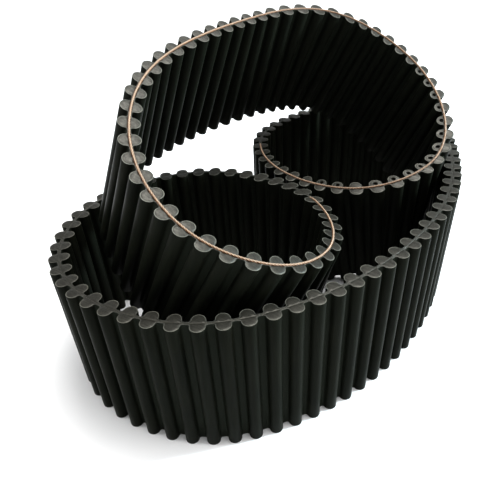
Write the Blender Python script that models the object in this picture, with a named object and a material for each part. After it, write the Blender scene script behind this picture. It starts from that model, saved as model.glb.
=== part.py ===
"""Endless double-sided timing belt, 8 mm pitch, lying on its edge in three turns.

The band is one closed strip of 140 round teeth on each face. It stands on its edge and
winds three times around: a wide outer turn on the floor, a smaller turn inside it at the
left, and a turn lifted over both, high at the back and low at the front right.

Units are metres and +Z is up. The origin is on the floor, under the middle of the belt.
"""

import math

import bmesh
import bpy
import numpy as np
from mathutils import Vector

MM = 0.001

# Driving dimensions of the belt.
PITCH = 8.0 * MM
TEETH = 140
WIDTH = 60.0 * MM
LAND_HEIGHT = 0.686 * MM        # pitch line to the land between two teeth
TOOTH_HEIGHT = 3.38 * MM        # land to the tip of a tooth
TOOTH_RADIUS = 2.57 * MM        # round of a tooth
ROOT_HALF_WIDTH = 2.75 * MM     # half a tooth's width where it meets the land
TIP_ANGLES = (20.0, 55.0, 90.0, 125.0, 160.0)   # degrees round a tooth, one corner each

# Layers of the belt.
FACING = 0.30 * MM              # woven fabric over each row of teeth
LAYER_GAP = 0.10 * MM           # between the fabric and the rubber
FACING_SETBACK = 0.20 * MM      # fabric ends this far short of the cut edges
CORD_RADIUS = 0.45 * MM
CORD_GAP = 0.30 * MM            # cord to the cut edge it lies on
CORD_FIRST_TOOTH = 51
CORD_LAST_TOOTH = 116

# The rubber is one moulding. It is divided at the lands, so that each length stays simple.
TEETH_PER_SECTION = 5
SECTIONS = TEETH // TEETH_PER_SECTION
SECTION_GAP = 0.30 * MM

SAMPLES_PER_SPAN = 60           # of the route's curve, between two of its points

# The route of the line halfway up the band, laid point by point in the order that the band
# runs, clockwise from above. Where the band stands upright on the floor, a point is x and y
# in millimetres. Where it is lifted or leans, a point is x, y and the height of the line in
# millimetres, then the lean towards +X and towards +Y in degrees.
ROUTE = (
    (86, 17),                       # outer turn, right
    (68, -27),
    (37, -64),
    (-4, -89),
    (-35, -95),                     # outer turn, front
    (-64, -86),
    (-84, -68),
    (-92, -40),                     # outer turn, left
    (-85, -14),
    (-63, 5),
    (-33, 10),                      # left inner turn, back
    (-7, -1),
    (8, -23, 30, 6, 4),
    (9, -48, 32, 13, 5),            # left inner turn, right end
    (-2, -68, 37, 22, 0),
    (-21, -79, 45, 26, -8),
    (-41, -76, 55, 24, -16),        # lifted turn, climbing at the left
    (-56, -62, 66, 22, -22),
    (-67, -36, 81, 24, -24),
    (-64, -14, 89, 22, -23),
    (-43, 20, 95, 18, -22),
    (-16, 47, 96, 17, -19),         # lifted turn, over the back
    (12, 64, 95, 17, -20),
    (34, 69, 89, 18, -25),
    (53, 62, 79, 17, -27),
    (71, 39, 62, 11, -28),          # lifted turn, coming down at the right
    (74, 16, 49, 1, -28),
    (66, -1, 40, -7, -22),
    (44, -11, 34, -11, -15),        # right inner turn, front
    (22, -7, 31, -8, -8),
    (2, 8, 30, -4, -2),
    (-8, 30),                       # right inner turn, left
    (-5, 56),
    (14, 78),
    (42, 93),                       # back of the belt
    (66, 93),
    (83, 81),
    (91, 58),
)

RUBBER = ((0.030, 0.031, 0.028), 0.75)
FABRIC = ((0.026, 0.029, 0.028), 0.55)
CORD = ((0.50, 0.30, 0.18), 0.60)


# ---------------------------------------------------------------- route of the band

def route_points():
    """The route's points as x, y, height and the lean towards +X and +Y, as slopes."""
    points = []
    for x, y, *lifted in ROUTE:
        height, lean_x, lean_y = lifted or (WIDTH / 2 / MM, 0, 0)
        points.append((x * MM, y * MM, height * MM,
                       math.tan(math.radians(lean_x)), math.tan(math.radians(lean_y))))
    return np.array(points)


def spline_slopes(points, spans):
    """Slopes of the smooth closed curve through the points, with the spans between them."""
    count = len(points)
    system = np.zeros((count, count))
    change = np.zeros(points.shape)
    for i in range(count):
        following = (i + 1) % count
        before = spans[i - 1]
        after = spans[i]
        system[i, i - 1] = after
        system[i, i] = 2 * (before + after)
        system[i, following] = before
        change[i] = 3 * (points[i] - points[i - 1]) * after / before
        change[i] += 3 * (points[following] - points[i]) * before / after
    return np.linalg.solve(system, change)


def sample_route(points):
    """Dense closed samples of the route: arc length, point, tangent and lean."""
    spans = np.linalg.norm(np.roll(points, -1, axis=0)[:, :3] - points[:, :3], axis=1)
    slopes = spline_slopes(points, spans)
    rows = []
    speeds = []
    for i, span in enumerate(spans):
        start = points[i]
        end = points[(i + 1) % len(points)]
        start_slope = slopes[i] * span
        end_slope = slopes[(i + 1) % len(points)] * span
        for step in range(SAMPLES_PER_SPAN):
            f = step / SAMPLES_PER_SPAN
            rows.append((2 * f**3 - 3 * f**2 + 1) * start + (3 * f**2 - 2 * f**3) * end
                        + (f**3 - 2 * f**2 + f) * start_slope + (f**3 - f**2) * end_slope)
            speeds.append((6 * f**2 - 6 * f) * (start - end)
                          + (3 * f**2 - 4 * f + 1) * start_slope
                          + (3 * f**2 - 2 * f) * end_slope)
    rows.append(rows[0])
    speeds.append(speeds[0])
    rows = np.array(rows)
    tangents = np.array(speeds)[:, :3]
    tangents /= np.linalg.norm(tangents, axis=1)[:, None]
    steps = np.linalg.norm(np.diff(rows[:, :3], axis=0), axis=1)
    lengths = np.concatenate(([0.0], np.cumsum(steps)))
    return lengths, rows[:, :3], tangents, rows[:, 3:]


class Route:
    """The band's middle line, read by pitches from the first tooth."""

    def __init__(self):
        points = route_points()
        for _ in range(3):
            self.lengths, self.points, self.tangents, self.leans = sample_route(points)
            points[:, :2] *= TEETH * PITCH / self.lengths[-1]
        self.centre_over_origin()

    def centre_over_origin(self):
        """Moves the route in plan, so that the tips of the teeth are centred on x and y."""
        point, across, outward = self.read(np.arange(TEETH))
        tip = LAND_HEIGHT + TOOTH_HEIGHT
        corners = np.concatenate([point + low * across + out * outward
                                  for low in (-WIDTH / 2, WIDTH / 2) for out in (-tip, tip)])
        middle = (corners.min(axis=0) + corners.max(axis=0)) / 2
        self.points[:, :2] -= middle[:2]

    def read(self, pitches):
        """Point, direction across the width (up) and direction outwards, at each place."""
        places = (np.asarray(pitches, dtype=float) % TEETH) / TEETH * self.lengths[-1]

        def at(values):
            columns = [np.interp(places, self.lengths, column) for column in values.T]
            return np.stack(columns, axis=1)

        point = at(self.points)
        tangent = at(self.tangents)
        tangent /= np.linalg.norm(tangent, axis=1)[:, None]
        lean = at(self.leans)
        across = np.column_stack((lean, np.ones(len(lean))))
        across -= (across * tangent).sum(axis=1)[:, None] * tangent
        across /= np.linalg.norm(across, axis=1)[:, None]
        outward = np.cross(across, tangent)
        reach = across[:, 2] * WIDTH / 2 + np.abs(outward[:, 2]) * (LAND_HEIGHT + TOOTH_HEIGHT)
        point[:, 2] = np.maximum(point[:, 2], reach)    # nothing reaches below the floor
        return point, across, outward


# ---------------------------------------------------------------- outline of the teeth

def tooth_outline(inset):
    """One tooth on a land, as (along, out) from its middle, moved inwards by inset."""
    radius = TOOTH_RADIUS - inset
    centre = LAND_HEIGHT + TOOTH_HEIGHT - TOOTH_RADIUS
    land = LAND_HEIGHT - inset
    root = ROOT_HALF_WIDTH - inset
    corners = [(-root, land)]
    for angle in reversed(TIP_ANGLES):
        turn = math.radians(angle)
        corners.append((radius * math.cos(turn), centre + radius * math.sin(turn)))
    corners.append((root, land))
    return corners


def toothed_line(first, count, inset):
    """Places in pitches and heights off the pitch line, along a run of teeth."""
    places = []
    heights = []
    for tooth in range(first, first + count):
        for along, out in tooth_outline(inset):
            places.append(tooth + along / PITCH)
            heights.append(out)
    return places, heights


# ---------------------------------------------------------------- solids

def wall_points(route, line, side, low, high):
    """Lower and upper points of one wall. side is +1 on the outer face, -1 on the inner."""
    places, heights = line
    point, across, outward = route.read(places)
    face = point + side * np.array(heights)[:, None] * outward
    return face + low * across, face + high * across


def band_mesh(name, outer, inner, closed, origin):
    """A closed solid between an outer and an inner wall, each (lower, upper) points."""
    count = len(outer[0])
    shape = bmesh.new()
    rails = []
    for points in (*outer, *inner):
        rails.append([shape.verts.new(Vector(p) - origin) for p in points])
    outer_low, outer_high, inner_low, inner_high = rails

    def patch(a, b, c, d):
        """Two triangles, always cut along the same diagonal, so that layers stay apart."""
        shape.faces.new((a, b, c))
        shape.faces.new((a, c, d))

    for i in range(count if closed else count - 1):
        j = (i + 1) % count
        patch(outer_low[j], outer_low[i], outer_high[i], outer_high[j])
        patch(inner_low[j], inner_high[j], inner_high[i], inner_low[i])
        patch(outer_high[j], outer_high[i], inner_high[i], inner_high[j])
        patch(outer_low[j], inner_low[j], inner_low[i], outer_low[i])
    if not closed:
        patch(outer_low[0], inner_low[0], inner_high[0], outer_high[0])
        patch(outer_low[-1], outer_high[-1], inner_high[-1], inner_low[-1])
    mesh = bpy.data.meshes.new(name)
    shape.to_mesh(mesh)
    shape.free()
    return mesh


def add_material(name, look):
    colour, roughness = look
    material = bpy.data.materials.new(name)
    material.use_nodes = True
    shader = material.node_tree.nodes["Principled BSDF"]
    shader.inputs["Base Color"].default_value = (*colour, 1.0)
    shader.inputs["Roughness"].default_value = roughness
    shader.inputs["Metallic"].default_value = 0.0
    return material


def add_object(name, data, material, parent, origin):
    piece = bpy.data.objects.new(name, data)
    data.materials.append(material)
    piece.location = origin
    piece.parent = parent
    bpy.context.scene.collection.objects.link(piece)
    return piece


def add_rubber_section(number, route, material, parent):
    """Five teeth of the rubber body, from one land to just short of the next section."""
    inset = FACING + LAYER_GAP
    first = number * TEETH_PER_SECTION
    places, heights = toothed_line(first, TEETH_PER_SECTION, inset)
    next_root = tooth_outline(inset)[0]
    places.append(first + TEETH_PER_SECTION + (next_root[0] - SECTION_GAP) / PITCH)
    heights.append(next_root[1])
    line = (places, heights)
    outer = wall_points(route, line, 1.0, -WIDTH / 2, WIDTH / 2)
    inner = wall_points(route, line, -1.0, -WIDTH / 2, WIDTH / 2)
    middle = route.read([first + TEETH_PER_SECTION / 2])[0][0]
    origin = Vector(middle)
    name = f"rubber_body_{number + 1:02d}"
    mesh = band_mesh(name, outer, inner, False, origin)
    return add_object(name, mesh, material, parent, origin)


def add_facing(name, side, route, material, parent):
    """The fabric over one row of teeth, a closed ring that follows every tooth."""
    low = FACING_SETBACK - WIDTH / 2
    high = WIDTH / 2 - FACING_SETBACK
    skin = wall_points(route, toothed_line(0, TEETH, 0.0), side, low, high)
    back = wall_points(route, toothed_line(0, TEETH, FACING), side, low, high)
    walls = (skin, back) if side > 0 else (back, skin)
    mesh = band_mesh(name, *walls, True, Vector())
    return add_object(name, mesh, material, parent, Vector())


def add_bare_cord(route, material, parent):
    """The turn of tensile cord that the cut has laid bare along the upper edge."""
    teeth = range(CORD_FIRST_TOOTH, CORD_LAST_TOOTH + 1)
    point, across, _ = route.read(list(teeth))
    line = point + (WIDTH / 2 + CORD_GAP + CORD_RADIUS) * across
    curve = bpy.data.curves.new("bare_tensile_cord", "CURVE")
    curve.dimensions = "3D"
    curve.bevel_depth = CORD_RADIUS
    curve.bevel_resolution = 2
    curve.use_fill_caps = True
    spline = curve.splines.new("POLY")
    spline.points.add(len(line) - 1)
    for target, place in zip(spline.points, line):
        target.co = (*place, 1.0)
    return add_object("bare_tensile_cord", curve, material, parent, Vector())


def main():
    for old in list(bpy.data.objects):
        bpy.data.objects.remove(old, do_unlink=True)
    belt = bpy.data.objects.new("timing_belt", None)
    bpy.context.scene.collection.objects.link(belt)
    route = Route()
    rubber = add_material("rubber", RUBBER)
    fabric = add_material("fabric_facing", FABRIC)
    cord = add_material("tensile_cord", CORD)
    for number in range(SECTIONS):
        add_rubber_section(number, route, rubber, belt)
    add_facing("outer_fabric_facing", 1.0, route, fabric, belt)
    add_facing("inner_fabric_facing", -1.0, route, fabric, belt)
    add_bare_cord(route, cord, belt)


main()
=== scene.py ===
"""Looks of an endless double-sided timing belt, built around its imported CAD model.

The belt is cut from a wide moulded sleeve: two rows of round teeth under a woven nylon
facing, with cut faces of bare rubber above and below, and a glass-fibre cord that the cut
has laid open along part of the upper edge. Lengths are in metres unless a name says
otherwise. "Out" is away from the middle of a turn, "up" is across the width of the belt.
"""

import math

import bmesh
import bpy
import numpy as np
from mathutils import Matrix, Vector
from mathutils.geometry import delaunay_2d_cdt


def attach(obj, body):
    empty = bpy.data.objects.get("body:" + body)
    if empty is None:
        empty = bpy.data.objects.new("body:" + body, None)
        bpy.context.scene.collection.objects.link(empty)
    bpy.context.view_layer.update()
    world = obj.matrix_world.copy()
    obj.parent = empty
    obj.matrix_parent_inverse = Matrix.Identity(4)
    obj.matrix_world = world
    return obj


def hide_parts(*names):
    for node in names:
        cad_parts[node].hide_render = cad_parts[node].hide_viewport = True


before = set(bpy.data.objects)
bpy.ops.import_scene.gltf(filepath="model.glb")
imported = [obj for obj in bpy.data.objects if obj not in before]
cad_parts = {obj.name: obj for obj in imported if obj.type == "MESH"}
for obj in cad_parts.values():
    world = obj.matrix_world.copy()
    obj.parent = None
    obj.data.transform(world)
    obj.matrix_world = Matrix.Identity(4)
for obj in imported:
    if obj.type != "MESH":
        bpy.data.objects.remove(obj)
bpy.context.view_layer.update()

MM = 0.001

# ---------------------------------------------------------------- the belt, as in the CAD

PITCH = 8.0 * MM
TEETH = 140
WIDTH = 60.0 * MM
LAND_HEIGHT = 0.686 * MM
TOOTH_HEIGHT = 3.38 * MM
TOOTH_RADIUS = 2.57 * MM
FILLET_RADIUS = 0.76 * MM
FACING = 0.30 * MM
SAMPLES_PER_SPAN = 60

# The route of the line halfway up the band, laid point by point in the order that the band
# runs, clockwise from above. Where the band stands upright on the floor, a point is x and y
# in millimetres. Where it is lifted or leans, a point is x, y and the height of the line in
# millimetres, then the lean towards +X and towards +Y in degrees.
ROUTE = (
    (86, 17),                       # outer turn, right
    (68, -27),
    (37, -64),
    (-4, -89),
    (-35, -95),                     # outer turn, front
    (-64, -86),
    (-84, -68),
    (-92, -40),                     # outer turn, left
    (-85, -14),
    (-63, 5),
    (-33, 10),                      # left inner turn, back
    (-7, -1),
    (8, -23, 30, 6, 4),
    (9, -48, 32, 13, 5),            # left inner turn, right end
    (-2, -68, 37, 22, 0),
    (-21, -79, 45, 26, -8),
    (-41, -76, 55, 24, -16),        # lifted turn, climbing at the left
    (-56, -62, 66, 22, -22),
    (-67, -36, 81, 24, -24),
    (-64, -14, 89, 22, -23),
    (-43, 20, 95, 18, -22),
    (-16, 47, 96, 17, -19),         # lifted turn, over the back
    (12, 64, 95, 17, -20),
    (34, 69, 89, 18, -25),
    (53, 62, 79, 17, -27),
    (71, 39, 62, 11, -28),          # lifted turn, coming down at the right
    (74, 16, 49, 1, -28),
    (66, -1, 40, -7, -22),
    (44, -11, 34, -11, -15),        # right inner turn, front
    (22, -7, 31, -8, -8),
    (2, 8, 30, -4, -2),
    (-8, 30),                       # right inner turn, left
    (-5, 56),
    (14, 78),
    (42, 93),                       # back of the belt
    (66, 93),
    (83, 81),
    (91, 58),
)

# ---------------------------------------------------------------- detail

LENGTHS = 7                         # pieces that the band's skins and body are made in
TEETH_PER_LENGTH = TEETH // LENGTHS
SECTIONS_PER_LENGTH = 4             # CAD rubber nodes that one of these lengths stands for
WELD = 2e-6                         # points closer than this become one

ARC_STEPS = 18                      # around the round of a tooth
FILLET_STEPS = 5                    # around the hollow where a tooth meets the land
BODY_INSET = FACING + 0.01 * MM
EDGE_SOFTNESS = 0.07 * MM           # rounding of the cut edges

FACING_ROWS = (-1.0, -0.994, -0.6, -0.2, 0.2, 0.6, 0.994, 1.0)    # shares of half the width
FACING_SETBACK = 0.04 * MM          # fabric ends this far short of the cut edges
FACING_WAVE = 0.035 * MM            # how far the crests of the fabric stand off true

LOBE_CENTRE = 1.75 * MM             # middle of a lobe of the cut face, off the pitch line
LOBE_SWELL = 0.05 * MM              # how far the middle of a lobe stands proud
LOBE_REACH = 2.0 * MM
LOBE_RINGS = ((1.45 * MM, 18), (0.95 * MM, 14), (0.45 * MM, 8), (0.0, 1))  # radius, points
HOLLOW_RADIUS = 0.95 * MM
HOLLOW_DEPTH = 1.5 * MM
HOLLOW_SHARES = (0.0, 0.4, 0.8, 0.93, 1.0, 1.12)       # of the radius, from the middle out
HOLLOW_DROPS = (1.0, 0.97, 0.82, 0.5, 0.12, 0.0)       # shares of the depth at those places
HOLLOW_RINGS = ((1.45 * MM, 20), (HOLLOW_RADIUS * 1.12, 20), (HOLLOW_RADIUS, 20),
                (HOLLOW_RADIUS * 0.93, 20), (HOLLOW_RADIUS * 0.8, 20),
                (HOLLOW_RADIUS * 0.4, 10), (0.0, 1))
HOLLOW_TEETH = tuple(t for t in range(95, 110) if t != 107)

SEAM_DEPTH = 0.10 * MM              # groove where the two tooth rows meet in the cut face
SEAM_REACH = 0.12 * MM
SEAM_PALE_REACH = 0.13 * MM         # half width of the pale line along that groove

CORD_FIRST_TOOTH = 51
CORD_LAST_TOOTH = 116
CORD_OVERRUN = 0.45                 # of a pitch, past the first and the last of those teeth
CORD_SEAT = 0.42 * MM               # depth of the channel that the bare cord lies in
CORD_SEAT_REACH = 0.32 * MM
CORD_RISE = 0.06 * MM               # middle of the cord over the cut face
CORD_END_DIP = 0.75 * MM            # how deep its ends go into the rubber
CORD_END_LENGTH = 5.0 * MM
STRANDS = 3
STRAND_RADIUS = 0.23 * MM
STRAND_OFFSET = 0.21 * MM
STRAND_SIDES = 8
STEPS_PER_LAY = 12
LAY_LENGTH = 3.6 * MM               # of one full twist of the strands

WEAVE_PERIOD = 0.62                 # millimetres from thread to thread of the nylon

# ---------------------------------------------------------------- studio

FLOOR_RADIUS = 2.0
COVE_RADIUS = 0.8                   # of the curve from the floor into the backdrop
COVE_STEPS = 12
BACKDROP_HEIGHT = 1.1
FLOOR_SIDES = 96

# The sky's strength is the product of two ramps: an axis of the direction looked in, the
# share along it where the ramp starts and ends, and the strengths there.
SKY_RAMPS = (
    (2, 0.55, 0.95, 0.20, 1.25),
    (1, -0.8, 0.8, 0.8, 0.9),
)
WHITE = (1.0, 1.0, 1.0)
LAMPS = (                           # name, place, aim, size, watts, colour
    ("overhead", (0.36, 0.16, 1.45), (0.0, 0.0, 0.0), (1.1, 0.8), 28.0, WHITE),
    ("left_strip", (-0.9, -0.05, 0.35), (0.0, 0.0, 0.05), (0.12, 0.5), 4.0, WHITE),
    ("right_strip", (0.95, 0.10, 0.30), (0.0, 0.0, 0.05), (0.08, 0.5), 25.0, (0.75, 0.92, 1.0)),
)
CAMERA_PLACE = (-0.01684, -0.20577, 0.16733)
CAMERA_TILT = 54.18                 # degrees up from straight down
CAMERA_ROLL = -3.12
LENS = 35.07                        # millimetres, for a sensor 36 mm wide


# ---------------------------------------------------------------- route of the band

def route_points():
    """The route's points as x, y, height and the lean towards +X and +Y, as slopes."""
    points = []
    for x, y, *lifted in ROUTE:
        height, lean_x, lean_y = lifted or (WIDTH / 2 / MM, 0, 0)
        points.append((x * MM, y * MM, height * MM,
                       math.tan(math.radians(lean_x)), math.tan(math.radians(lean_y))))
    return np.array(points)


def spline_slopes(points, spans):
    """Slopes of the smooth closed curve through the points, with the spans between them."""
    count = len(points)
    system = np.zeros((count, count))
    change = np.zeros(points.shape)
    for i in range(count):
        following = (i + 1) % count
        before = spans[i - 1]
        after = spans[i]
        system[i, i - 1] = after
        system[i, i] = 2 * (before + after)
        system[i, following] = before
        change[i] = 3 * (points[i] - points[i - 1]) * after / before
        change[i] += 3 * (points[following] - points[i]) * before / after
    return np.linalg.solve(system, change)


def sample_route(points):
    """Dense closed samples of the route: arc length, point, tangent and lean."""
    spans = np.linalg.norm(np.roll(points, -1, axis=0)[:, :3] - points[:, :3], axis=1)
    slopes = spline_slopes(points, spans)
    rows = []
    speeds = []
    for i, span in enumerate(spans):
        start = points[i]
        end = points[(i + 1) % len(points)]
        start_slope = slopes[i] * span
        end_slope = slopes[(i + 1) % len(points)] * span
        for step in range(SAMPLES_PER_SPAN):
            f = step / SAMPLES_PER_SPAN
            rows.append((2 * f**3 - 3 * f**2 + 1) * start + (3 * f**2 - 2 * f**3) * end
                        + (f**3 - 2 * f**2 + f) * start_slope + (f**3 - f**2) * end_slope)
            speeds.append((6 * f**2 - 6 * f) * (start - end)
                          + (3 * f**2 - 4 * f + 1) * start_slope
                          + (3 * f**2 - 2 * f) * end_slope)
    rows.append(rows[0])
    speeds.append(speeds[0])
    rows = np.array(rows)
    tangents = np.array(speeds)[:, :3]
    tangents /= np.linalg.norm(tangents, axis=1)[:, None]
    steps = np.linalg.norm(np.diff(rows[:, :3], axis=0), axis=1)
    lengths = np.concatenate(([0.0], np.cumsum(steps)))
    return lengths, rows[:, :3], tangents, rows[:, 3:]


class Route:
    """The band's middle line, read by pitches from the first tooth."""

    def __init__(self):
        points = route_points()
        for _ in range(3):
            self.lengths, self.points, self.tangents, self.leans = sample_route(points)
            points[:, :2] *= TEETH * PITCH / self.lengths[-1]
        self.centre_over_origin()

    def centre_over_origin(self):
        """Moves the route in plan, so that the tips of the teeth are centred on x and y."""
        point, across, outward = self.read(np.arange(TEETH))
        tip = LAND_HEIGHT + TOOTH_HEIGHT
        corners = np.concatenate([point + low * across + out * outward
                                  for low in (-WIDTH / 2, WIDTH / 2) for out in (-tip, tip)])
        middle = (corners.min(axis=0) + corners.max(axis=0)) / 2
        self.points[:, :2] -= middle[:2]

    def read(self, pitches):
        """Point, direction across the width (up) and direction outwards, at each place."""
        places = (np.asarray(pitches, dtype=float) % TEETH) / TEETH * self.lengths[-1]

        def at(values):
            columns = [np.interp(places, self.lengths, column) for column in values.T]
            return np.stack(columns, axis=1)

        point = at(self.points)
        tangent = at(self.tangents)
        tangent /= np.linalg.norm(tangent, axis=1)[:, None]
        lean = at(self.leans)
        across = np.column_stack((lean, np.ones(len(lean))))
        across -= (across * tangent).sum(axis=1)[:, None] * tangent
        across /= np.linalg.norm(across, axis=1)[:, None]
        outward = np.cross(across, tangent)
        reach = across[:, 2] * WIDTH / 2 + np.abs(outward[:, 2]) * (LAND_HEIGHT + TOOTH_HEIGHT)
        point[:, 2] = np.maximum(point[:, 2], reach)    # nothing reaches below the floor
        return point, across, outward


BAND = Route()


def place(pitches, out=0.0, up=0.0):
    """Points on the belt: pitches along it from the first tooth, out and up in metres."""
    point, across, outward = BAND.read(pitches)
    out = np.broadcast_to(out, len(point))[:, None]
    up = np.broadcast_to(up, len(point))[:, None]
    return point + out * outward + up * across


# ---------------------------------------------------------------- outline of one tooth

def tooth_outline(inset):
    """One pitch of the toothed face, (along, out) from land middle to land middle."""
    radius = TOOTH_RADIUS - inset
    fillet = FILLET_RADIUS + inset
    centre = LAND_HEIGHT + TOOTH_HEIGHT - TOOTH_RADIUS
    land = LAND_HEIGHT - inset
    fillet_y = land + fillet
    fillet_x = math.sqrt((radius + fillet) ** 2 - (fillet_y - centre) ** 2)
    meet = math.atan2(fillet_y - centre, fillet_x)     # where fillet and round touch
    half = [(PITCH / 2, land)]
    for step in range(FILLET_STEPS):
        turn = -math.pi / 2 - (math.pi / 2 - meet) * step / FILLET_STEPS
        half.append((fillet_x + fillet * math.cos(turn), fillet_y + fillet * math.sin(turn)))
    for step in range(ARC_STEPS // 2):
        turn = meet + (math.pi / 2 - meet) * step / (ARC_STEPS // 2)
        half.append((radius * math.cos(turn), centre + radius * math.sin(turn)))
    left = [(-x, y) for x, y in half]
    return np.array(left + [(0.0, centre + radius)] + half[::-1])


def smooth_wander(places, up, seed):
    """A slow uneven wave in -1..1 over the belt's surface, the same on every run."""
    a = np.sin(places * 0.83 + seed * 1.7 + 60.0 * up)
    b = np.sin(places * 2.31 + seed * 4.1 - 95.0 * up)
    c = np.sin(places * 0.37 - seed * 2.9 + 210.0 * up)
    return (a + b + c) / 3.0


# ---------------------------------------------------------------- mesh making

def make_piece(name, points, faces, materials, slots, uv, crest, sharp):
    """A mesh object. uv and crest hold one value for each point, slots one for each face."""
    mesh = bpy.data.meshes.new(name)
    mesh.from_pydata([tuple(p) for p in points], [], faces)
    for material in materials:
        mesh.materials.append(material)
    if slots is not None:
        mesh.polygons.foreach_set("material_index", np.array(slots, dtype=np.int32))
    layer = mesh.uv_layers.new(name="Cloth")
    corners = np.zeros(len(mesh.loops), dtype=np.int32)
    mesh.loops.foreach_get("vertex_index", corners)
    layer.data.foreach_set("uv", np.asarray(uv, dtype=np.float32)[corners].ravel())
    values = mesh.attributes.new("crest", "FLOAT", "POINT")
    values.data.foreach_set("value", np.asarray(crest, dtype=np.float32))
    work = bmesh.new()
    work.from_mesh(mesh)
    bmesh.ops.remove_doubles(work, verts=work.verts, dist=WELD)
    bmesh.ops.recalc_face_normals(work, faces=work.faces)
    work.to_mesh(mesh)
    work.free()
    mesh.polygons.foreach_set("use_smooth", np.ones(len(mesh.polygons), dtype=bool))
    mesh.set_sharp_from_angle(angle=math.radians(sharp))
    piece = bpy.data.objects.new(name, mesh)
    bpy.context.scene.collection.objects.link(piece)
    return piece


def grid_faces(rows, columns, start=0):
    """Quads of a grid whose points are numbered row by row."""
    index = start + np.arange(rows * columns).reshape(rows, columns)
    quads = np.stack((index[:-1, :-1], index[:-1, 1:], index[1:, 1:], index[1:, :-1]), axis=-1)
    return [tuple(int(v) for v in q) for q in quads.reshape(-1, 4)]


# ---------------------------------------------------------------- woven facing

def facing_length(name, side, number, fabric, cut_fabric):
    """One length of the woven facing: a thin closed shell that follows every tooth."""
    first = number * TEETH_PER_LENGTH
    outlines = [tooth_outline(0.0), tooth_outline(FACING)]
    steps = np.hypot(*np.diff(outlines[0], axis=0).T)
    run = np.concatenate(([0.0], np.cumsum(steps)))
    columns = []
    for tooth in range(first, first + TEETH_PER_LENGTH):
        last = tooth == first + TEETH_PER_LENGTH - 1
        count = len(run) if last else len(run) - 1
        for i in range(count):
            columns.append((tooth, i))
    tooth_of, point_of = np.array(columns).T
    cloth_u = (tooth_of * run[-1] + run[point_of]) / MM
    shells = []
    half = WIDTH / 2 - FACING_SETBACK
    for layer, outline in enumerate(outlines):
        along = outline[point_of, 0]
        out = outline[point_of, 1]
        places = tooth_of + along / PITCH
        lift = np.clip((out - outline[0, 1]) / TOOTH_HEIGHT, 0.0, 1.0)
        for share in FACING_ROWS:
            up = share * half
            uneven = FACING_WAVE * smooth_wander(places, up, side) * (1 - layer)
            edge = EDGE_SOFTNESS if abs(share) == 1.0 and layer == 0 else 0.0
            points = place(places, side * (out + uneven * lift - edge), up)
            shells.append((points, cloth_u, np.full(len(places), up / MM), lift))
    points, cloth_along, cloth_up, crest = (np.concatenate(part) for part in zip(*shells))
    uv = np.column_stack((cloth_along, cloth_up))
    rows = len(FACING_ROWS)
    width = len(columns)
    faces = grid_faces(rows, width) + grid_faces(rows, width, rows * width)
    slots = [0] * len(faces)
    back = rows * width
    for c in range(width - 1):
        for row in (0, rows - 1):
            a = row * width + c
            faces.append((a, a + 1, back + a + 1, back + a))
            slots.append(1)
    for row in range(rows - 1):
        for c in (0, width - 1):
            a = row * width + c
            faces.append((a, a + width, back + a + width, back + a))
            slots.append(0)
    piece = make_piece(name, points, faces, (fabric, cut_fabric), slots, uv, crest, sharp=35.0)
    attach(piece, "root")
    return piece


# ---------------------------------------------------------------- rubber body

def spread(low, high, count):
    """Evenly spaced values, both ends included."""
    return [low + (high - low) * i / (count - 1) for i in range(count)]


def face_pattern(hollow):
    """Flat pattern of one pitch of the cut face: its points and its triangles."""
    upper = [tuple(p) for p in tooth_outline(BODY_INSET)]
    lower = [(x, -y) for x, y in upper]
    half = PITCH / 2
    side_heights = (0.0, 0.12 * MM, 0.30 * MM)
    right = [(half, -y) for y in side_heights[:0:-1]] + [(half, y) for y in side_heights]
    ring = upper + right[::-1] + lower[::-1] + [(-half, y) for _, y in right]
    points = list(ring)
    edges = [(i, (i + 1) % len(ring)) for i in range(len(ring))]
    for side in (1, -1):
        for x, y in tooth_outline(BODY_INSET + 0.16 * MM)[1:-1]:
            if y > 0.45 * MM and abs(x) < 3.2 * MM:
                points.append((x, side * y))
        for radius, count in HOLLOW_RINGS if hollow and side < 0 else LOBE_RINGS:
            for i in range(count):
                turn = 2 * math.pi * (i + 0.5) / count
                points.append((radius * math.cos(turn),
                               side * LOBE_CENTRE + radius * math.sin(turn)))
    for x in spread(-3.5 * MM, 3.5 * MM, 15):
        for y in side_heights[:2]:
            points.append((x, y))
            if y > 0:
                points.append((x, -y))
    scale = 1000.0                  # the triangles are found in millimetres
    flat = [Vector((x * scale, y * scale)) for x, y in points]
    verts, _, triangles, _, _, _ = delaunay_2d_cdt(flat, edges, [], 1, 1e-5)
    pattern = np.array([(v.x / scale, v.y / scale) for v in verts])
    return pattern, [tuple(t) for t in triangles]


def cut_relief(pattern, hollow, corded, outline_y):
    """Height of the cut face off its plane: soft edges, seam or cord channel, hollows."""
    x = pattern[:, 0]
    y = pattern[:, 1]
    height = np.zeros(len(pattern))
    height -= EDGE_SOFTNESS * (np.abs(np.abs(y) - outline_y(x)) < 0.02 * MM)
    centre = np.hypot(x, np.abs(y) - LOBE_CENTRE)
    height += LOBE_SWELL * np.clip(1.0 - (centre / LOBE_REACH) ** 2, 0.0, 1.0)
    depth, reach = (CORD_SEAT, CORD_SEAT_REACH) if corded else (SEAM_DEPTH, SEAM_REACH)
    height -= depth * np.clip(1.0 - np.abs(y) / reach, 0.0, 1.0)
    if hollow:
        inside = np.hypot(x, y + LOBE_CENTRE) / HOLLOW_RADIUS
        height -= HOLLOW_DEPTH * np.interp(inside, HOLLOW_SHARES, HOLLOW_DROPS)
    return height


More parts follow.
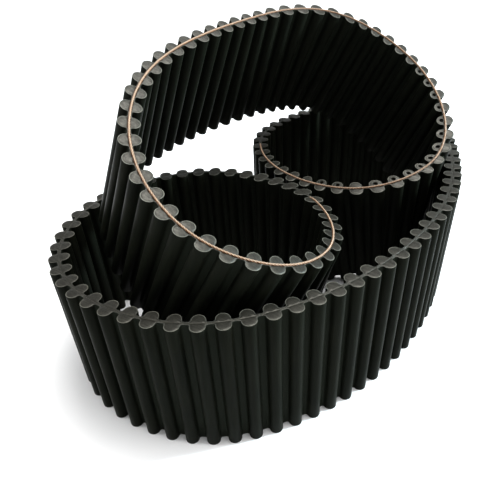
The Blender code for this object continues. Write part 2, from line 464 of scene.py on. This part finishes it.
def body_length(name, number, rubber):
    """One length of the moulded rubber, with its cut faces."""
    outline = tooth_outline(BODY_INSET)

    def outline_y(x):
        return np.interp(x, outline[:, 0], outline[:, 1])

    kinds = {hollow: face_pattern(hollow) for hollow in (False, True)}
    first = number * TEETH_PER_LENGTH
    points = []
    faces = []
    uvs = []
    depth = []
    start = 0
    for tooth in range(first, first + TEETH_PER_LENGTH):
        for top in (True, False):
            hollow = top and tooth in HOLLOW_TEETH
            pattern, triangles = kinds[hollow]
            corded = top and CORD_FIRST_TOOTH <= tooth <= CORD_LAST_TOOTH
            relief = cut_relief(pattern, hollow, corded, outline_y)
            sign = 1.0 if top else -1.0
            places = tooth + pattern[:, 0] / PITCH
            here = place(places, pattern[:, 1], sign * (WIDTH / 2 + relief))
            points.append(here)
            uvs.append(np.column_stack((places * PITCH / MM, pattern[:, 1] / MM)))
            seam = np.clip(1.0 - np.abs(pattern[:, 1]) / SEAM_PALE_REACH, 0.0, 1.0)
            # Share of a hollow's depth, stored so that the material can paint shade into the
            # deep part of the hollows.
            hollow_shade = np.clip(-relief / HOLLOW_DEPTH, 0.0, 1.0) if hollow else 0.0 * seam
            depth.append(seam * (0.0 if corded else 1.0) - hollow_shade)
            faces += [tuple(start + i for i in t) for t in triangles]
            start += len(pattern)
        for side in (1.0, -1.0):
            x = outline[:, 0]
            places = tooth + x / PITCH
            low = place(places, side * outline[:, 1], -WIDTH / 2 + EDGE_SOFTNESS)
            high = place(places, side * outline[:, 1], WIDTH / 2 - EDGE_SOFTNESS)
            points += [low, high]
            uvs.append(np.column_stack((places * PITCH / MM, side * outline[:, 1] / MM)))
            uvs.append(uvs[-1])
            depth += [np.zeros(len(x)), np.zeros(len(x))]
            faces += grid_faces(2, len(x), start)
            start += 2 * len(x)
    piece = make_piece(name, np.concatenate(points), faces, (rubber,), None,
                       np.concatenate(uvs), np.concatenate(depth), sharp=40.0)
    close_ends(piece)
    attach(piece, "root")
    return piece


def close_ends(piece):
    """Fills the two open ends of a length, which meet its neighbours inside the band."""
    work = bmesh.new()
    work.from_mesh(piece.data)
    open_edges = [e for e in work.edges if e.is_boundary]
    bmesh.ops.holes_fill(work, edges=open_edges, sides=0)
    bmesh.ops.recalc_face_normals(work, faces=work.faces)
    work.to_mesh(piece.data)
    work.free()


# ---------------------------------------------------------------- bare cord

def tube_faces(rings, around):
    """Faces of a tube with closed ends, whose points are numbered ring by ring."""
    faces = []
    for r in range(rings - 1):
        for a in range(around):
            b = (a + 1) % around
            faces.append((r * around + a, r * around + b,
                          (r + 1) * around + b, (r + 1) * around + a))
    faces.append(tuple(range(around))[::-1])
    faces.append(tuple((rings - 1) * around + a for a in range(around)))
    return faces


def cord_strands(name, material):
    """The bare turn of cord: twisted strands, half sunk, whose ends dip into the rubber."""
    spacing = LAY_LENGTH / STEPS_PER_LAY / PITCH
    first = CORD_FIRST_TOOTH - CORD_OVERRUN
    last = CORD_LAST_TOOTH + CORD_OVERRUN
    places = np.arange(first, last, spacing)
    points = []
    faces = []
    uvs = []
    crown = []
    start = 0
    ends = np.minimum(places - first, last - places) * PITCH
    dip = np.clip(1.0 - ends / CORD_END_LENGTH, 0.0, 1.0) ** 2
    wander = 0.05 * MM * smooth_wander(places * 3.0, 0.0, 3)
    centre_up = WIDTH / 2 + CORD_RISE - CORD_END_DIP * dip + 0.5 * wander
    for strand in range(STRANDS):
        twist = 2 * math.pi * (places * PITCH / LAY_LENGTH + strand / STRANDS)
        middle_out = wander + STRAND_OFFSET * np.cos(twist)
        middle_up = centre_up + STRAND_OFFSET * np.sin(twist)
        rings = []
        heights = []
        for step in range(STRAND_SIDES):
            turn = 2 * math.pi * step / STRAND_SIDES
            up = middle_up + STRAND_RADIUS * math.sin(turn)
            rings.append(place(places, middle_out + STRAND_RADIUS * math.cos(turn), up))
            heights.append((up - centre_up) / (STRAND_OFFSET + STRAND_RADIUS))
        grid = np.stack(rings, axis=1).reshape(-1, 3)
        points.append(grid)
        crown.append(np.stack(heights, axis=1).ravel())
        along = np.repeat(places * PITCH / MM, STRAND_SIDES)
        turn_share = np.tile(np.arange(STRAND_SIDES) / STRAND_SIDES, len(places))
        uvs.append(np.column_stack((along, turn_share)))
        faces += [tuple(start + i for i in f) for f in tube_faces(len(places), STRAND_SIDES)]
        start += len(grid)
    piece = make_piece(name, np.concatenate(points), faces, (material,), None,
                       np.concatenate(uvs), np.concatenate(crown), sharp=60.0)
    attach(piece, "root")
    return piece


# ---------------------------------------------------------------- materials

class Nodes:
    """Short calls for a material's nodes."""

    def __init__(self, name):
        self.material = bpy.data.materials.new(name)
        self.material.use_nodes = True
        self.tree = self.material.node_tree
        self.shader = self.tree.nodes["Principled BSDF"]

    def add(self, kind, **settings):
        node = self.tree.nodes.new(kind)
        for key, value in settings.items():
            setattr(node, key, value)
        return node

    def link(self, source, target):
        self.tree.links.new(source, target)

    def math(self, operation, a, b=0.0):
        node = self.add("ShaderNodeMath", operation=operation)
        for socket, value in zip(node.inputs, (a, b)):
            if isinstance(value, (int, float)):
                socket.default_value = value
            else:
                self.link(value, socket)
        return node.outputs[0]

    def cloth(self, scale=(1.0, 1.0, 1.0)):
        """Millimetres along the surface and across it, each times its scale."""
        uv = self.add("ShaderNodeUVMap", uv_map="Cloth")
        mapping = self.add("ShaderNodeMapping")
        mapping.inputs["Scale"].default_value = scale
        self.link(uv.outputs["UV"], mapping.inputs["Vector"])
        return mapping.outputs[0]

    def solid(self, stretch=1.0, turn=0.0):
        """Object coordinates, drawn out by stretch along a line turned from X."""
        where = self.add("ShaderNodeTexCoord")
        mapping = self.add("ShaderNodeMapping", vector_type="TEXTURE")
        mapping.inputs["Scale"].default_value = (stretch, 1.0, 1.0)
        mapping.inputs["Rotation"].default_value = (0.0, 0.0, turn)
        self.link(where.outputs["Object"], mapping.inputs["Vector"])
        return mapping.outputs[0]

    def noise(self, vector, scale, detail, roughness):
        node = self.add("ShaderNodeTexNoise")
        self.link(vector, node.inputs["Vector"])
        node.inputs["Scale"].default_value = scale
        node.inputs["Detail"].default_value = detail
        node.inputs["Roughness"].default_value = roughness
        return node.outputs["Fac"]

    def crest(self):
        """The height or depth that each piece stores with its points."""
        return self.add("ShaderNodeAttribute", attribute_name="crest").outputs["Fac"]

    def between(self, value, low, high, to_low=0.0, to_high=1.0):
        """Value taken from low..high to to_low..to_high, and held at both ends."""
        node = self.add("ShaderNodeMapRange")
        node.inputs["From Min"].default_value = low
        node.inputs["From Max"].default_value = high
        node.inputs["To Min"].default_value = to_low
        node.inputs["To Max"].default_value = to_high
        self.link(value, node.inputs["Value"])
        return node.outputs["Result"]

    def mix(self, share, a, b):
        node = self.add("ShaderNodeMix", data_type="RGBA")
        self.link(share, node.inputs["Factor"])
        for socket, value in ((node.inputs[6], a), (node.inputs[7], b)):
            if isinstance(value, tuple):
                socket.default_value = (*value, 1.0)
            else:
                self.link(value, socket)
        return node.outputs[2]

    def bump(self, height, strength, distance):
        node = self.add("ShaderNodeBump")
        node.inputs["Strength"].default_value = strength
        node.inputs["Distance"].default_value = distance
        self.link(height, node.inputs["Height"])
        self.link(node.outputs["Normal"], self.shader.inputs["Normal"])


def fabric_material():
    """Black nylon twill, smoothed and faintly olive on the crests, duller in the lands, which
    are painted lighter to offset the shade that falls between the teeth.
    """
    n = Nodes("woven_nylon")
    cloth = n.cloth()
    split = n.add("ShaderNodeSeparateXYZ")
    n.link(cloth, split.inputs[0])
    warp = n.math("SINE", n.math("MULTIPLY", split.outputs[0], 2 * math.pi / WEAVE_PERIOD))
    weft = n.math("SINE", n.math("MULTIPLY", split.outputs[1], 2 * math.pi / WEAVE_PERIOD))
    weave = n.math("MULTIPLY", warp, weft)
    blotch = n.noise(n.cloth((0.16, 0.05, 1.0)), 1.0, 4.0, 0.65)
    speckle = n.noise(n.cloth(), 2.6, 2.0, 0.6)
    rub = n.noise(n.cloth((0.9, 0.05, 1.0)), 1.3, 3.0, 0.55)
    crest = n.crest()
    base = n.mix(n.between(blotch, 0.3, 0.7), (0.0040, 0.0048, 0.0036), (0.0078, 0.0084, 0.0056))
    # Painted light: the lands between the teeth get a lighter colour than the flanks, to cancel
    # the shade that falls into them.
    laid = n.mix(n.between(crest, 0.02, 0.22), (0.0105, 0.0124, 0.0088), base)
    worn = n.mix(n.math("MULTIPLY", n.between(crest, 0.55, 1.0), n.between(rub, 0.35, 0.7)),
                 laid, (0.0072, 0.0084, 0.0056))
    flecked = n.mix(n.between(speckle, 0.66, 0.80, 0.0, 0.5), worn, (0.018, 0.020, 0.019))
    n.link(flecked, n.shader.inputs["Base Color"])
    rough = n.math("ADD", n.between(speckle, 0.2, 0.8, 0.28, 0.42),
                   n.between(crest, 0.0, 1.0, 0.14, 0.0))
    n.link(rough, n.shader.inputs["Roughness"])
    n.shader.inputs["Specular IOR Level"].default_value = 0.012
    height = n.math("ADD", n.math("MULTIPLY", weave, 0.30), n.math("MULTIPLY", speckle, 0.8))
    n.bump(height, 0.30, 0.00008)
    return n.material


def rubber_material(name, low, high, pale, specular):
    """Black rubber as the knife left it: a chalky bloom, fine grain, drawn-out scores, and
    painted shade towards the bottom of the hollows.
    """
    n = Nodes(name)
    grain = n.noise(n.solid(), 2100.0, 2.0, 0.6)
    patch = n.noise(n.solid(), 260.0, 3.0, 0.6)
    scores = n.noise(n.solid(8.0, -0.6), 1250.0, 3.0, 0.6)
    base = n.mix(n.between(patch, 0.3, 0.7), low, high)
    scored = n.mix(n.between(scores, 0.50, 0.72, 0.0, 0.75), base, pale)
    dusty = n.mix(n.between(grain, 0.45, 0.75, 0.0, 0.55), scored, pale)
    crest = n.crest()
    chalk = (pale[0] * 1.5, pale[1] * 1.5, pale[2] * 1.4)
    seamed = n.mix(n.between(crest, 0.2, 0.9, 0.0, 0.8), dusty, chalk)
    # Painted shade: the colour goes near black towards the bottom of the hollows.
    shaded_hollows = n.mix(n.between(crest, -0.15, -0.6), seamed, (0.006, 0.006, 0.005))
    n.link(shaded_hollows, n.shader.inputs["Base Color"])
    n.link(n.between(scores, 0.3, 0.7, 0.50, 0.38), n.shader.inputs["Roughness"])
    mottle = n.math("ADD", n.math("MULTIPLY", scores, 0.6), n.math("MULTIPLY", grain, 0.4))
    gloss = n.between(mottle, 0.38, 0.62, specular * 0.6, specular * 1.25)
    n.link(gloss, n.shader.inputs["Specular IOR Level"])
    n.shader.inputs["Specular Tint"].default_value = (1.0, 0.96, 0.84, 1.0)
    height = n.math("ADD", n.math("MULTIPLY", scores, 1.0), n.math("MULTIPLY", grain, 0.5))
    n.bump(height, 0.5, 0.00006)
    return n.material


def cord_material():
    """Glass fibre in its copper-brown dip, with pale filaments bared by the knife."""
    n = Nodes("dipped_glass_cord")
    filaments = n.noise(n.cloth((0.7, 9.0, 1.0)), 1.0, 3.0, 0.6)
    patches = n.noise(n.cloth((0.35, 1.0, 1.0)), 1.0, 2.0, 0.5)
    copper = n.mix(n.between(patches, 0.35, 0.65), (0.16, 0.065, 0.025), (0.22, 0.100, 0.045))
    bared = n.math("MULTIPLY", n.between(n.crest(), 0.35, 0.90),
                   n.between(filaments, 0.25, 0.55, 0.4, 1.0))
    colour = n.mix(bared, copper, (0.42, 0.31, 0.22))
    n.link(colour, n.shader.inputs["Base Color"])
    n.link(n.between(filaments, 0.3, 0.7, 0.5, 0.32), n.shader.inputs["Roughness"])
    n.shader.inputs["Specular IOR Level"].default_value = 0.25
    n.bump(filaments, 0.4, 0.00005)
    return n.material


# ---------------------------------------------------------------- floor, lamps, camera

def studio_white():
    """A matt near-white for the floor and the backdrop."""
    n = Nodes("studio_white")
    n.shader.inputs["Base Color"].default_value = (0.93, 0.93, 0.93, 1.0)
    n.shader.inputs["Roughness"].default_value = 0.9
    n.shader.inputs["Specular IOR Level"].default_value = 0.0
    return n.material


def add_floor():
    """A pale floor that curves up into a backdrop all round, far from the belt."""
    around = FLOOR_SIDES
    profile = [(0.5, 0.0), (1.2, 0.0), (FLOOR_RADIUS, 0.0)]
    for step in range(1, COVE_STEPS + 1):
        turn = math.pi / 2 * step / COVE_STEPS
        profile.append((FLOOR_RADIUS + COVE_RADIUS * math.sin(turn),
                        COVE_RADIUS * (1 - math.cos(turn))))
    profile.append((FLOOR_RADIUS + COVE_RADIUS, BACKDROP_HEIGHT))
    points = [(0.0, 0.0, 0.0)]
    for radius, height in profile:
        for a in range(around):
            turn = 2 * math.pi * a / around
            points.append((radius * math.cos(turn), radius * math.sin(turn), height))
    faces = []
    for a in range(around):
        faces.append((0, 1 + a, 1 + (a + 1) % around))
    for ring in range(len(profile) - 1):
        low = 1 + ring * around
        for a in range(around):
            b = (a + 1) % around
            faces.append((low + a, low + around + a, low + around + b, low + b))
    mesh = bpy.data.meshes.new("studio_floor")
    mesh.from_pydata(points, [], faces)
    mesh.materials.append(studio_white())
    mesh.polygons.foreach_set("use_smooth", np.ones(len(mesh.polygons), dtype=bool))
    floor = bpy.data.objects.new("studio_floor", mesh)
    bpy.context.scene.collection.objects.link(floor)


def add_lamp(name, location, target, size, power, colour):
    """A rectangular lamp at location that faces target."""
    lamp = bpy.data.lights.new(name, "AREA")
    lamp.shape = "RECTANGLE"
    lamp.size = size[0]
    lamp.size_y = size[1]
    lamp.energy = power
    lamp.color = colour
    holder = bpy.data.objects.new(name, lamp)
    holder.location = location
    aim = Vector(target) - Vector(location)
    holder.rotation_euler = aim.to_track_quat("-Z", "Y").to_euler()
    bpy.context.scene.collection.objects.link(holder)


def add_lights():
    """A sky that is brighter overhead, and three lamps."""
    world = bpy.data.worlds.new("studio")
    world.use_nodes = True
    tree = world.node_tree
    background = tree.nodes["Background"]
    background.inputs["Color"].default_value = (1.0, 1.0, 1.0, 1.0)
    direction = tree.nodes.new("ShaderNodeTexCoord")
    split = tree.nodes.new("ShaderNodeSeparateXYZ")
    tree.links.new(direction.outputs["Generated"], split.inputs[0])
    shares = []
    for axis, low, high, dim, bright in SKY_RAMPS:
        share = tree.nodes.new("ShaderNodeMapRange")
        share.inputs["From Min"].default_value = low
        share.inputs["From Max"].default_value = high
        share.inputs["To Min"].default_value = dim
        share.inputs["To Max"].default_value = bright
        tree.links.new(split.outputs[axis], share.inputs["Value"])
        shares.append(share.outputs["Result"])
    strength = tree.nodes.new("ShaderNodeMath")
    strength.operation = "MULTIPLY"
    tree.links.new(shares[0], strength.inputs[0])
    tree.links.new(shares[1], strength.inputs[1])
    tree.links.new(strength.outputs[0], background.inputs["Strength"])
    bpy.context.scene.world = world
    for lamp in LAMPS:
        add_lamp(*lamp)


def add_camera():
    camera = bpy.data.objects.new("camera", bpy.data.cameras.new("camera"))
    camera.data.sensor_width = 36.0
    camera.data.lens = LENS
    camera.data.clip_start = 0.01
    tilt = Matrix.Rotation(math.radians(CAMERA_TILT), 4, "X")
    roll = Matrix.Rotation(math.radians(CAMERA_ROLL), 4, "Z")
    camera.matrix_world = Matrix.Translation(CAMERA_PLACE) @ tilt @ roll
    bpy.context.scene.collection.objects.link(camera)
    bpy.context.scene.camera = camera


# ---------------------------------------------------------------- assembly


def build():
    add_camera()
    fabric = fabric_material()
    cut_fabric = rubber_material("cut_fabric_edge", (0.020, 0.021, 0.017), (0.040, 0.040, 0.034),
                                 (0.080, 0.080, 0.070), 0.3)
    rubber = rubber_material("cut_rubber", (0.004, 0.004, 0.003), (0.008, 0.008, 0.006),
                             (0.022, 0.021, 0.016), 0.45)
    cord = cord_material()
    for number in range(LENGTHS):
        body = body_length(f"moulded_rubber_{number + 1}", number, rubber)
        first = number * SECTIONS_PER_LENGTH + 1
        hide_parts(*[f"rubber_body_{first + i:02d}" for i in range(SECTIONS_PER_LENGTH)])
        outer = facing_length(f"outer_nylon_{number + 1}", 1.0, number, fabric, cut_fabric)
        inner = facing_length(f"inner_nylon_{number + 1}", -1.0, number, fabric, cut_fabric)
        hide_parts("outer_fabric_facing")
        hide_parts("inner_fabric_facing")
    strands = cord_strands("bare_glass_cord", cord)
    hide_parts("bare_tensile_cord")
    add_floor()
    add_lights()
    bpy.context.scene.view_settings.view_transform = "Standard"


build()
